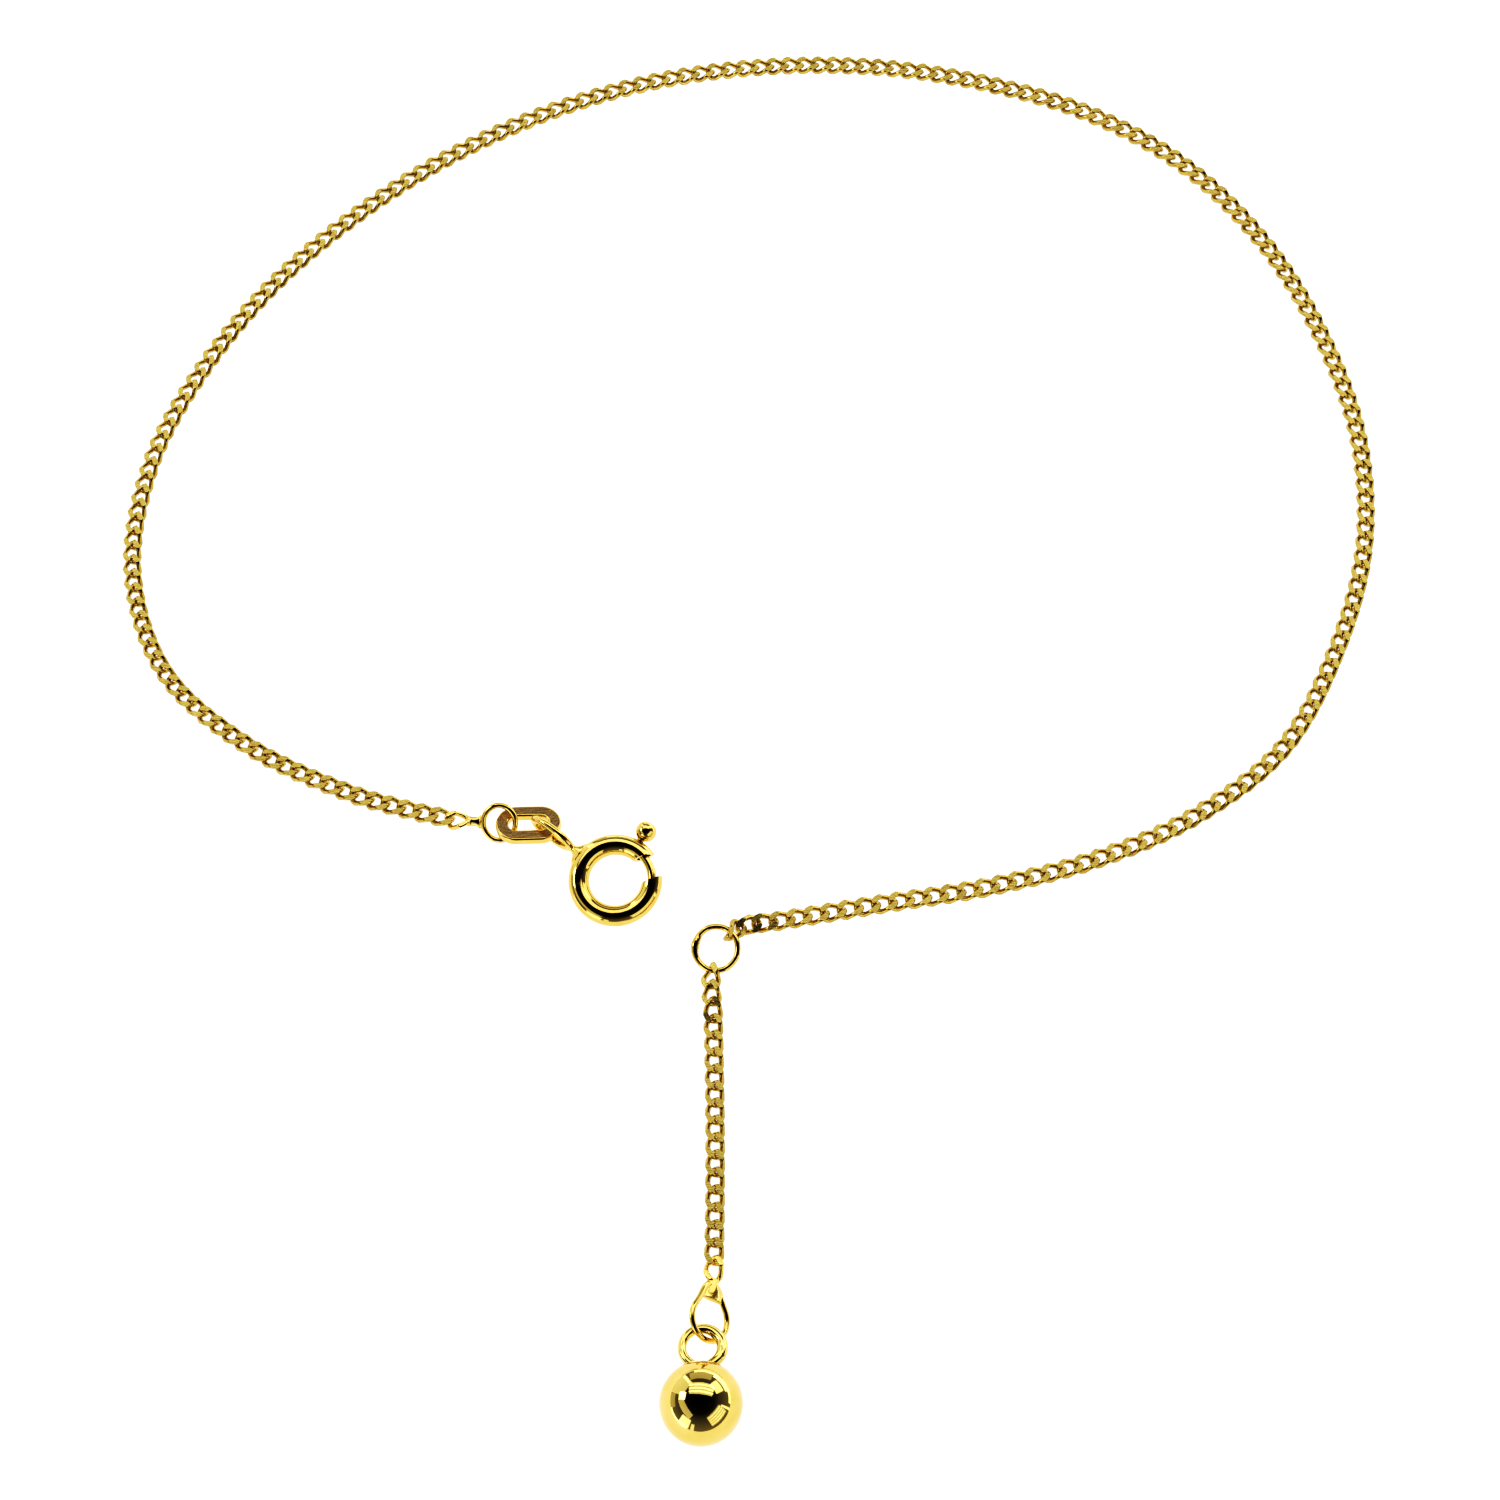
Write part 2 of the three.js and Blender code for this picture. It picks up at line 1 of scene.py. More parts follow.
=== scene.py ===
import math
import random

import bpy
from mathutils import Matrix, Vector


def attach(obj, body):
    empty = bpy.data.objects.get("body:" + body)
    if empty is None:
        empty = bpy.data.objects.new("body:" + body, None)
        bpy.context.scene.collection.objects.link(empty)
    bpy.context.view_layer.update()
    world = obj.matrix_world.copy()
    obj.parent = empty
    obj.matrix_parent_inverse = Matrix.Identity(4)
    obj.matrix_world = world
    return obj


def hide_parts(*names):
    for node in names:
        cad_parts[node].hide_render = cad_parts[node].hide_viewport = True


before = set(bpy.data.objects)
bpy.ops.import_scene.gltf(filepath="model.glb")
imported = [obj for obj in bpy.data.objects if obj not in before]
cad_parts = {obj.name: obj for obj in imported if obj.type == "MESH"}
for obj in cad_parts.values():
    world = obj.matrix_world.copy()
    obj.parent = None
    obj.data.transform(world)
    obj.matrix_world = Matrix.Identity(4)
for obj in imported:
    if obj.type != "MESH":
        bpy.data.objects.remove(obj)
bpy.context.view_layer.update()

# Table, light and camera
# The anklet lies on a white table lit from below, in a dark room with a few paper-covered
# strip lights. The pieces are modelled in millimetres and brought to metres as they are finished.
ROOM_STOPS = [(0.0, 0.26), (0.3, 0.19), (0.6, 0.10), (0.78, 0.015), (1.0, 0.0)]
TABLE_GLOW = 1.02
TABLE_GREY = (0.25, 0.25, 0.25, 1)
TABLE_SIZE = 6
TABLE_DROP = 0.00003
# The photograph's contrast, as light in and light out
TONE_CURVE = [(0.1, 0.03), (0.2, 0.11), (0.4, 0.36), (0.6, 0.62), (0.8, 0.81)]
CAMERA_PLACE = (0.0048, -0.0734, 0.156925)
CAMERA_LEAN = 23.486
CAMERA_SWAY = 1.694
LAMP_DISTANCE = 0.8
TUBE_DISTANCE = LAMP_DISTANCE * 0.96
# Name, bearing from +X, height above the table, width and depth in metres, glow
STUDIO_LAMPS = [
    ("north_panel", 84, 61, 1.00, 0.50, 0.66),
    ("north_low_panel", 90, 19, 0.72, 0.36, 0.32),
    ("north_east_panel", 38, 32, 0.42, 0.36, 1.15),
    ("north_west_panel", 142, 22, 0.62, 0.62, 0.64),
    ("north_west_edge", 124, 20, 0.08, 0.45, 1.05),
    ("north_window", 80, 3, 0.70, 0.12, 1.6),
    ("north_east_window", 42, 7, 0.62, 0.22, 1.6),
    ("east_window", 9, 3, 0.36, 0.10, 1.6),
    ("south_east_panel", -43, 25, 0.66, 0.46, 0.46),
    ("south_east_edge", -15, 15, 0.07, 0.42, 1.15),
    ("south_lamp", -108, 10, 0.10, 0.26, 0.8),
    ("south_west_lamp", -128, 15, 0.34, 0.38, 1.15),
    ("south_west_window", -144, 2, 0.75, 0.07, 1.6),
    ("south_west_panel", -150, 40, 0.75, 0.25, 0.50),
    ("west_low_panel", 178, 8, 0.40, 0.26, 0.28),
    ("west_lamp", 168, 39, 0.26, 0.26, 3.0),
]
# The two big panels have brighter tubes across them: name, bearing, heights, width, depth, glow
LAMP_TUBES = [
    ("north_tube", 84, (51, 61, 71), 1.00, 0.075, 0.92),
    ("south_east_tube", -43, (14, 21, 28, 35), 0.60, 0.050, 0.70),
]


class Signal:
    """A shader socket that takes part in plain arithmetic."""

    def __init__(self, tree, socket):
        self.tree = tree
        self.socket = socket

    def maths(self, operation, first, second):
        node = self.tree.nodes.new("ShaderNodeMath")
        node.operation = operation
        feed(self.tree, node.inputs[0], first)
        feed(self.tree, node.inputs[1], second)
        return Signal(self.tree, node.outputs[0])

    def __add__(self, other):
        return self.maths("ADD", self, other)

    def __radd__(self, other):
        return self.maths("ADD", other, self)

    def __mul__(self, other):
        return self.maths("MULTIPLY", self, other)

    def __rmul__(self, other):
        return self.maths("MULTIPLY", other, self)


def feed(tree, socket, value):
    if isinstance(value, Signal):
        tree.links.new(value.socket, socket)
    else:
        socket.default_value = value


class Shading:
    """A node tree that is written as one expression after another."""

    def __init__(self, tree):
        self.tree = tree

    def node(self, kind, settings=None, inputs=None, output=0):
        node = self.tree.nodes.new(kind)
        for name, value in (settings or {}).items():
            if name == "stops":
                self.set_stops(node.color_ramp, value)
            else:
                setattr(node, name, value)
        for name, value in (inputs or {}).items():
            feed(self.tree, node.inputs[name], value)
        return Signal(self.tree, node.outputs[output])

    def set_stops(self, ramp, stops):
        while len(ramp.elements) < len(stops):
            ramp.elements.new(1.0)
        for element, (position, colour) in zip(ramp.elements, stops):
            element.position = position
            element.color = colour if isinstance(colour, tuple) else (colour, colour, colour, 1)


scene = bpy.context.scene
scene.view_settings.view_transform = "Standard"
scene.view_settings.use_curve_mapping = True
tone_curve = scene.view_settings.curve_mapping.curves[3]
for light_in, light_out in TONE_CURVE:
    tone_curve.points.new(light_in, light_out)
scene.view_settings.curve_mapping.update()

camera_data = bpy.data.cameras.new("camera")
camera_data.lens = 62.97
camera_data.sensor_width = 36
camera_data.clip_start = 0.01
camera = bpy.data.objects.new("camera", camera_data)
camera.matrix_world = (
    Matrix.Translation(CAMERA_PLACE)
    @ Matrix.Rotation(math.radians(CAMERA_SWAY), 4, "Y")
    @ Matrix.Rotation(math.radians(CAMERA_LEAN), 4, "X")
)
scene.collection.objects.link(camera)
scene.camera = camera

room = bpy.data.worlds.new("dark_room")
room.use_nodes = True
scene.world = room
room_shading = Shading(room.node_tree)
room_direction = room_shading.node("ShaderNodeTexCoord", output="Generated")
room_height = room_shading.node("ShaderNodeSeparateXYZ", inputs={"Vector": room_direction}, output="Z")
room_glow = room_shading.node("ShaderNodeValToRGB", {"stops": ROOM_STOPS}, {"Fac": room_height})
feed(room.node_tree, room.node_tree.nodes["Background"].inputs["Color"], room_glow)


def area_lamp(name, bearing, height, width, depth, glow, distance):
    lamp_data = bpy.data.lights.new(name, "AREA")
    lamp_data.shape = "RECTANGLE"
    lamp_data.size = width
    lamp_data.size_y = depth
    lamp_data.energy = 4 * glow * width * depth
    lamp = bpy.data.objects.new(name, lamp_data)
    away = Vector((
        math.cos(math.radians(bearing)) * math.cos(math.radians(height)),
        math.sin(math.radians(bearing)) * math.cos(math.radians(height)),
        math.sin(math.radians(height)),
    ))
    facing = away.to_track_quat("Z", "Y").to_matrix().to_4x4()
    lamp.matrix_world = Matrix.Translation(away * distance) @ facing
    scene.collection.objects.link(lamp)


for name, bearing, height, width, depth, glow in STUDIO_LAMPS:
    area_lamp(name, bearing, height, width, depth, glow, LAMP_DISTANCE)
for name, bearing, heights, width, depth, glow in LAMP_TUBES:
    for number, height in enumerate(heights, start=1):
        area_lamp(f"{name}_{number}", bearing, height, width, depth, glow, TUBE_DISTANCE)

bpy.ops.object.select_all(action="DESELECT")
bpy.ops.mesh.primitive_plane_add(size=TABLE_SIZE, location=(0, 0, -TABLE_DROP))
table = bpy.context.object
table.name = "white_table"
table_paint = bpy.data.materials.new("white_table")
table_paint.use_nodes = True
table_shading = Shading(table_paint.node_tree)
table_shader = table_paint.node_tree.nodes["Principled BSDF"]
table_place = table_shading.node("ShaderNodeTexCoord", output="Object")
table_grain = table_shading.node("ShaderNodeTexNoise", inputs={"Vector": table_place, "Scale": 900.0})
table_shader.inputs["Base Color"].default_value = TABLE_GREY
feed(table_paint.node_tree, table_shader.inputs["Roughness"], 0.55 + 0.1 * table_grain)
table_shader.inputs["Specular IOR Level"].default_value = 0.2
table_shader.inputs["Emission Color"].default_value = (1, 1, 1, 1)
table_shader.inputs["Emission Strength"].default_value = TABLE_GLOW
table.data.materials.append(table_paint)


# Curb chain
# About two hundred soldered oval links of gold wire, each twisted so that it nests in the next,
# then the whole chain ground flat above and below. It runs from the clasp's connector
# round to the jump ring, where the last three links stand up to pass round the ring.
LINK_WIRE = 0.34
LINK_LENGTH = 1.80
LINK_WIDTH = 1.23
LINK_TWIST = 0.32
# How much the hammered corners are thicker than the rest of the wire
LINK_CORNERS = 0.15
LINK_PITCH = 1.10
# Degrees by which a link may lie rolled to one side
LINK_ROLL = 1.5
CHAIN_THICKNESS = 0.66
CHAIN_ROUTE = [
    (-18.7, -10.1), (-22.6, -9.1), (-26.0, -8.0), (-32.8, -4.6), (-38.7, 0.7), (-41.6, 8.3),
    (-41.1, 16.7), (-38.1, 24.3), (-33.6, 31.2), (-28.0, 37.0), (-21.5, 41.9), (-14.3, 45.7),
    (-6.7, 48.2), (1.3, 49.3), (9.3, 49.1), (17.2, 47.5), (24.7, 44.6), (31.3, 39.9),
    (36.4, 33.3), (39.8, 25.5), (41.6, 17.3), (41.2, 8.9), (38.6, 1.1), (34.6, -5.7),
    (28.7, -10.3), (22.2, -13.2), (15.3, -15.0), (8.4, -16.1), (1.12, -17.3),
]
CLASP_END_LIFTS = {1: 0.04}
# Place, turn, slope and roll of the links that stand up round the jump ring
RING_END_LINKS = [
    ((-0.81, -17.96, 0.85), 228, 19.5, -52),
    ((0.05, -17.47, 0.53), 199, 6.5, -26),
    ((1.12, -17.3, 0.45), 186, 1, -7),
]
# The chain's gold is painted darker than the same gold of the clasp, rings and connectors: painted shade
# that dims the thin wire's reflections
CHAIN_GOLD_SHADED_DEEP = (0.48, 0.34, 0.09, 1)
CHAIN_GOLD_SHADED_PALE = (0.62, 0.46, 0.14, 1)
# The flats' grinding lines are real; their darker, browner colour is painted shade for the dark room they
# reflect
CHAIN_FLATS_SHADED_DEEP = (0.44, 0.34, 0.11, 1)
CHAIN_FLATS_SHADED_PALE = (0.56, 0.44, 0.15, 1)


def wire_loop(length, width, wire, sides=12, steps=8, twist=0.0, corners=0.0, swell=0.0, drawn=None):
    """A closed oval of round wire: twist lifts its corners and corners thickens them,
    swell thickens its -Y side, and drawn pulls its -X end out to a point."""
    bpy.ops.object.select_all(action="DESELECT")
    bpy.ops.curve.primitive_bezier_circle_add(radius=1)
    loop = bpy.context.object
    loop.data.dimensions = "3D"
    bpy.ops.object.mode_set(mode="EDIT")
    bpy.ops.curve.select_all(action="SELECT")
    bpy.ops.curve.subdivide()
    bpy.ops.transform.resize(value=((length - wire) / 2, (width - wire) / 2, 1), center_override=(0, 0, 0))
    if twist:
        for way in (1, -1):
            bpy.ops.curve.select_all(action="DESELECT")
            for point in loop.data.splines[0].bezier_points:
                if point.co.x * point.co.y * way > 0.01:
                    point.select_control_point = True
                    point.select_left_handle = True
                    point.select_right_handle = True
            bpy.ops.transform.translate(value=(0, 0, -way * twist))
    if drawn:
        bpy.ops.curve.select_all(action="DESELECT")
        point = min(loop.data.splines[0].bezier_points, key=lambda point: point.co.x)
        point.select_control_point = True
        point.select_left_handle = True
        point.select_right_handle = True
        bpy.ops.transform.translate(value=drawn)
    if twist or drawn:
        bpy.ops.curve.select_all(action="SELECT")
        bpy.ops.curve.handle_type_set(type="AUTOMATIC")
    bpy.ops.object.mode_set(mode="OBJECT")
    for point in loop.data.splines[0].bezier_points:
        along = 2 * point.co.x / (length - wire)
        across = 2 * point.co.y / (width - wire)
        point.radius = 1 + 2 * corners * abs(along * across) - swell * across
    loop.data.resolution_u = steps
    loop.data.bevel_depth = wire / 2
    loop.data.bevel_resolution = sides // 2 - 2
    bpy.ops.object.convert(target="MESH")
    bpy.ops.object.shade_smooth()
    return bpy.context.object


def curb_link(sides=6, steps=2):
    """One link, lengthwise along X, with flats ground above and below."""
    link = wire_loop(LINK_LENGTH, LINK_WIDTH, LINK_WIRE, sides, steps, LINK_TWIST, LINK_CORNERS)
    bpy.ops.object.mode_set(mode="EDIT")
    for side in (1, -1):
        bpy.ops.mesh.select_all(action="SELECT")
        bpy.ops.mesh.bisect(
            plane_co=(0, 0, side * CHAIN_THICKNESS / 2),
            plane_no=(0, 0, side),
            use_fill=True,
            clear_outer=True,
        )
    bpy.ops.mesh.select_all(action="SELECT")
    bpy.ops.mesh.normals_make_consistent(inside=False)
    bpy.ops.object.mode_set(mode="OBJECT")
    for face in link.data.polygons:
        if abs(face.normal.z) > 0.995:
            face.use_smooth = False
            face.material_index = 1
    return link


def placement(centre, turn=0.0, slope=0.0, roll=0.0):
    """Turned in plan, then raised at its far end, then rolled about its length."""
    return (
        Matrix.Translation(centre)
        @ Matrix.Rotation(math.radians(turn), 4, "Z")
        @ Matrix.Rotation(math.radians(-slope), 4, "Y")
        @ Matrix.Rotation(math.radians(roll), 4, "X")
    )


def copied(model, place):
    copy = model.copy()
    copy.data = model.data.copy()
    copy.data.transform(place)
    scene.collection.objects.link(copy)
    return copy


def joined(name, parts):
    bpy.ops.object.select_all(action="DESELECT")
    for part in parts:
        part.select_set(True)
    bpy.context.view_layer.objects.active = parts[0]
    if len(parts) > 1:
        bpy.ops.object.join()
    whole = bpy.context.object
    whole.name = name
    return whole


def route_points(corners, fine):
    """A smooth line through all the corners, as a list of closely spaced points."""
    corners = [Vector(corner) for corner in corners]
    padded = [2 * corners[0] - corners[1], *corners, 2 * corners[-1] - corners[-2]]
    line = []
    for before, start, end, after in zip(padded, padded[1:], padded[2:], padded[3:]):
        d0, d1, d2 = ((b - a).length ** 0.5 for a, b in ((before, start), (start, end), (end, after)))
        leave = ((start - before) / d0 - (end - before) / (d0 + d1) + (end - start) / d1) * d1
        reach = ((end - start) / d1 - (after - start) / (d1 + d2) + (after - end) / d2) * d1
        for i in range(fine):
            t = i / fine
            line.append(
                start
                + leave * t
                + (3 * (end - start) - 2 * leave - reach) * t ** 2
                + (2 * (start - end) + leave + reach) * t ** 3
            )
    return [*line, corners[-1]]


def spaced(line, pitch):
    """Places about a pitch apart along the line: each a point and the angle the line runs at."""
    lengths = [0.0]
    for a, b in zip(line, line[1:]):
        lengths.append(lengths[-1] + (b - a).length)
    count = round(lengths[-1] / pitch)
    places = []
    k = 0
    for i in range(count + 1):
        target = lengths[-1] * i / count
        while k < len(line) - 2 and lengths[k + 1] < target:
            k += 1
        step = line[k + 1] - line[k]
        point = line[k] + step * ((target - lengths[k]) / step.length)
        places.append((point, math.degrees(math.atan2(step.y, step.x))))
    return places


def gold(name, deep, pale, roughness, marks, bump):
    """Polished gold: patches of warmer and paler metal, hairline polishing marks, a few small scuffs."""
    finish = bpy.data.materials.new(name)
    finish.use_nodes = True
    tree = finish.node_tree
    shader = tree.nodes["Principled BSDF"]
    shading = Shading(tree)
    place = shading.node("ShaderNodeTexCoord", output="Object")
    patches = shading.node("ShaderNodeTexNoise", inputs={"Vector": place, "Scale": 650.0, "Detail": 3.0})
    patch_mix = shading.node("ShaderNodeValToRGB", {"stops": [(0.3, deep), (0.7, pale)]}, {"Fac": patches})
    swirl = shading.node(
        "ShaderNodeMapping",
        inputs={"Vector": place, "Rotation": (0.3, 0.5, 0.6), "Scale": (1.0, 9.0, 9.0)},
    )
    hairlines = shading.node("ShaderNodeTexNoise", inputs={"Vector": swirl, "Scale": 2600.0, "Detail": 4.0})
    scuffs = shading.node("ShaderNodeTexNoise", inputs={"Vector": place, "Scale": 1900.0, "Detail": 5.0})
    scuff_mask = shading.node("ShaderNodeValToRGB", {"stops": [(0.56, 0.0), (0.72, 1.0)]}, {"Fac": scuffs})
    feed(tree, shader.inputs["Base Color"], patch_mix)
    feed(tree, shader.inputs["Roughness"], roughness + marks * hairlines + 1.6 * marks * scuff_mask)
    relief = shading.node(
        "ShaderNodeBump",
        inputs={"Height": hairlines + 0.6 * scuffs, "Strength": bump, "Distance": 0.00002},
    )
    feed(tree, shader.inputs["Normal"], relief)
    shader.inputs["Metallic"].default_value = 1.0
    return finish


def ground_and_shaded_gold(name, deep, pale, roughness):
    """Gold left from the grinding wheel: fine lines along it and no mirror shine, with a darker, browner
    colour that is painted shade for the dark room flat faces reflect.
    """
    finish = bpy.data.materials.new(name)
    finish.use_nodes = True
    tree = finish.node_tree
    shader = tree.nodes["Principled BSDF"]
    shading = Shading(tree)
    place = shading.node("ShaderNodeTexCoord", output="Object")
    wheel_way = shading.node(
        "ShaderNodeMapping",
        inputs={"Vector": place, "Rotation": (0, 0, 0.5), "Scale": (1.0, 14.0, 14.0)},
    )
    lines = shading.node("ShaderNodeTexNoise", inputs={"Vector": wheel_way, "Scale": 1500.0, "Detail": 6.0})
    grit = shading.node("ShaderNodeTexNoise", inputs={"Vector": place, "Scale": 9000.0})
    colour = shading.node("ShaderNodeValToRGB", {"stops": [(0.35, deep), (0.6, pale)]}, {"Fac": lines})
    feed(tree, shader.inputs["Base Color"], colour)
    feed(tree, shader.inputs["Roughness"], roughness + 0.16 * lines)
    relief = shading.node(
        "ShaderNodeBump",
        inputs={"Height": lines + 0.4 * grit, "Strength": 0.5, "Distance": 0.00002},
    )
    feed(tree, shader.inputs["Normal"], relief)
    shader.inputs["Metallic"].default_value = 1.0
    return finish


MILLIMETRE = 0.001


def finished(piece, finishes, body, nodes):
    """Brings a piece to metres, gives it its finishes if it has none yet, and puts it in
    place of its plain solids."""
    piece.data.transform(Matrix.Scale(MILLIMETRE, 4))
    if not piece.data.materials:
        for finish in finishes:
            piece.data.materials.append(finish)
    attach(piece, body)
    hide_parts(*nodes)


# Both chain finishes carry painted shade: they are darker than the polished gold of the other pieces
shaded_chain_gold = gold("shaded_chain_gold", CHAIN_GOLD_SHADED_DEEP, CHAIN_GOLD_SHADED_PALE, roughness=0.10, marks=0.10, bump=0.12)
shaded_flats_gold = ground_and_shaded_gold("shaded_flats_gold", CHAIN_FLATS_SHADED_DEEP, CHAIN_FLATS_SHADED_PALE, roughness=0.20)
chain_link = curb_link()
chain_link.data.materials.append(shaded_chain_gold)
chain_link.data.materials.append(shaded_flats_gold)
chain_places = spaced(route_points(CHAIN_ROUTE, 60), LINK_PITCH)
chain_links = []
settling = random.Random(11)
for number, (point, angle) in enumerate(chain_places[1:-1], start=1):
    height = CHAIN_THICKNESS / 2 + CLASP_END_LIFTS.get(number, 0.0)
    roll = settling.uniform(-LINK_ROLL, LINK_ROLL)
    lift = math.sin(math.radians(abs(roll))) * LINK_WIDTH / 2
    spot = placement((point.x, point.y, height + lift), angle, 0, roll)
    chain_links.append(copied(chain_link, spot))
for centre, turn, slope, roll in RING_END_LINKS:
    chain_links.append(copied(chain_link, placement(centre, turn, slope, roll)))
curb_chain = joined("curb_chain", chain_links)
finished(
    curb_chain,
    [shaded_chain_gold, shaded_flats_gold],
    "anklet",
    [
        "main_chain",
        "clasp_end_link_1",
        "clasp_end_link_2",
        "ring_end_link_1",
        "ring_end_link_2",
        "ring_end_link_3",
    ],
)


# Extender chain
# A short run of the same curb links, hanging straight down from the jump ring.
# The first three stand up to pass round the ring; the last ones rise to the ball's connector.
EXTENDER_FIRST_LINKS = [
    ((-2.23, -20.83, 0.56), -96.5, -5, 30),
    ((-2.22, -21.93, 0.49), -90, -2.5, 18),
    ((-2.14, -23.02, 0.41), -88.5, -6, 10),
]
EXTENDER_STRAIGHT_LINKS = 14
EXTENDER_START = (-2.12, -24.11)
EXTENDER_PITCH = 1.085
EXTENDER_HEADINGS = (-88.0, -90.9)
EXTENDER_LAST_LIFTS = {11: 0.02, 12: 0.05, 13: 0.10}
# Each link leans a little on the next, towards the ball
EXTENDER_SLOPE = 3.0
EXTENDER_ROLL = 1.0

extender_links = []
for centre, turn, slope, roll in EXTENDER_FIRST_LINKS:
    extender_links.append(copied(chain_link, placement(centre, turn, slope, roll)))
extender_x, extender_y = EXTENDER_START
for number in range(EXTENDER_STRAIGHT_LINKS + 1):
    share = number / EXTENDER_STRAIGHT_LINKS
    turn = EXTENDER_HEADINGS[0] + (EXTENDER_HEADINGS[1] - EXTENDER_HEADINGS[0]) * share
    if number > 0:
        extender_x += EXTENDER_PITCH * math.cos(math.radians(turn))
        extender_y += EXTENDER_PITCH * math.sin(math.radians(turn))
    if number < EXTENDER_STRAIGHT_LINKS:
        lean = math.sin(math.radians(EXTENDER_SLOPE)) * LINK_LENGTH / 3
        height = CHAIN_THICKNESS / 2 + lean + EXTENDER_LAST_LIFTS.get(number, 0.0)
        roll = settling.uniform(-EXTENDER_ROLL, EXTENDER_ROLL)
        spot = placement((extender_x, extender_y, height), turn, EXTENDER_SLOPE, roll)
        extender_links.append(copied(chain_link, spot))
extender_end = (extender_x, extender_y)
extender_chain = joined("extender_chain", extender_links)
finished(
    extender_chain,
    [shaded_chain_gold, shaded_flats_gold],
    "anklet",
    [f"extender_link_{k:02d}" for k in range(1, 18)],
)
bpy.data.objects.remove(chain_link)


# Clasp end connector
# The chain's first link, soldered through a short waisted neck to a round ring.
# One solid: the solder has run along the wires and left a dark, smooth waist between them.
CONNECTOR_WIRE = 0.35
# What smoothing the solder takes off the wire, added before it
POLISH_LOSS = 0.035
CONNECTOR_RING_LENGTH = 2.47
CONNECTOR_RING_WIDTH = 2.66
CONNECTOR_LINK_PLACE = (-18.7, -10.1, 0.43)
CONNECTOR_RING_PLACE = (-15.94, -10.44, 0.83)
CONNECTOR_HEADING = -7.0
CONNECTOR_SLOPE = 8.2
CONNECTOR_RING_TILT = 33.0
# Distance from the link's middle, half width and half thickness of the neck
CONNECTOR_NECK = [
    (0.62, 0.36, 0.13), (0.84, 0.34, 0.17), (1.06, 0.30, 0.19),
    (1.30, 0.33, 0.19), (1.56, 0.50, 0.16),
]
SOLDER_GRAIN = 0.032
SOLDER_POLISH = 28
CONNECTOR_GOLD_DEEP = (0.74, 0.53, 0.16, 1)
CONNECTOR_GOLD_PALE = (0.84, 0.64, 0.23, 1)
# Sides and steps of a link that is run into the solder, finer than one of the chain's
FINE_SIDES = 12
FINE_STEPS = 6


def turned(stations, sides=20, twists=None):
    """A solid along X whose cross-section changes, and may twist, from station to station."""
    twists = twists or [0] * len(stations)
    bpy.ops.object.select_all(action="DESELECT")
    bpy.ops.mesh.primitive_circle_add(
        vertices=sides,
        radius=1,
        fill_type="NGON",
        location=(stations[0][0], 0, 0),
        rotation=(0, math.pi / 2, 0),
    )
    solid = bpy.context.object
    bpy.ops.object.transform_apply(location=True, rotation=True, scale=True)
    bpy.ops.object.mode_set(mode="EDIT")
    bpy.ops.mesh.select_all(action="SELECT")
    before, half_width, half_height, turn = stations[0][0], 1, 1, 0
    for (x, wide, high), twist in zip(stations, twists):
        if x > before:
            bpy.ops.mesh.extrude_region_move(TRANSFORM_OT_translate={"value": (x - before, 0, 0)})
        bpy.ops.transform.rotate(value=math.radians(turn), orient_axis="X", center_override=(x, 0, 0))
        bpy.ops.transform.resize(value=(1, wide / half_width, high / half_height), center_override=(x, 0, 0))
        bpy.ops.transform.rotate(value=math.radians(-twist), orient_axis="X", center_override=(x, 0, 0))
        before, half_width, half_height, turn = x, wide, high, twist
    bpy.ops.mesh.select_all(action="SELECT")
    bpy.ops.mesh.normals_make_consistent(inside=False)
    bpy.ops.object.mode_set(mode="OBJECT")
    bpy.ops.object.shade_smooth()
    return solid


def set_at(piece, place):
    piece.data.transform(place)
    return piece


def soldered(name, parts, grain, rounds):
    """Parts run together into one smooth solid, as solder leaves them."""
    whole = joined(name, parts)
    blend = whole.modifiers.new("solder", "REMESH")
    blend.mode = "VOXEL"
    blend.voxel_size = grain
    bpy.ops.object.modifier_apply(modifier=blend.name)
    polish = whole.modifiers.new("polish", "SMOOTH")
    polish.factor = 0.5
    polish.iterations = rounds
    bpy.ops.object.modifier_apply(modifier=polish.name)
    bpy.ops.object.shade_smooth()
    return whole


connector_link = set_at(
    curb_link(FINE_SIDES, FINE_STEPS),
    placement(CONNECTOR_LINK_PLACE, CONNECTOR_HEADING, CONNECTOR_SLOPE),
)
connector_neck = set_at(
    turned(CONNECTOR_NECK),
    placement(CONNECTOR_LINK_PLACE, CONNECTOR_HEADING, CONNECTOR_SLOPE, CONNECTOR_RING_TILT / 2),
)
connector_ring = set_at(
    wire_loop(CONNECTOR_RING_LENGTH, CONNECTOR_RING_WIDTH, CONNECTOR_WIRE + POLISH_LOSS, 16, 12),
    placement(CONNECTOR_RING_PLACE, CONNECTOR_HEADING, 0, CONNECTOR_RING_TILT),
)
clasp_connector = soldered(
    "clasp_connector",
    [connector_ring, connector_link, connector_neck],
    SOLDER_GRAIN,
    SOLDER_POLISH,
)
connector_gold = gold(
    "connector_gold",
    CONNECTOR_GOLD_DEEP,
    CONNECTOR_GOLD_PALE,
    roughness=0.07,
    marks=0.08,
    bump=0.06,
)
finished(clasp_connector, [connector_gold], "anklet", ["clasp_end_connector"])


# Oval link
# Stamped from thick sheet: a long oval with a long hole, its faces brushed along its length
# and painted a dark brown as painted shade, its edges rounded and polished. The clasp's bail runs through
# it.
OVAL_LENGTH = 4.2
OVAL_WIDTH = 2.7
OVAL_BAND = 0.80
OVAL_THICKNESS = 0.56
OVAL_ROUNDING = 0.12
OVAL_PLACE = (-14.067, -10.603, 0.776)
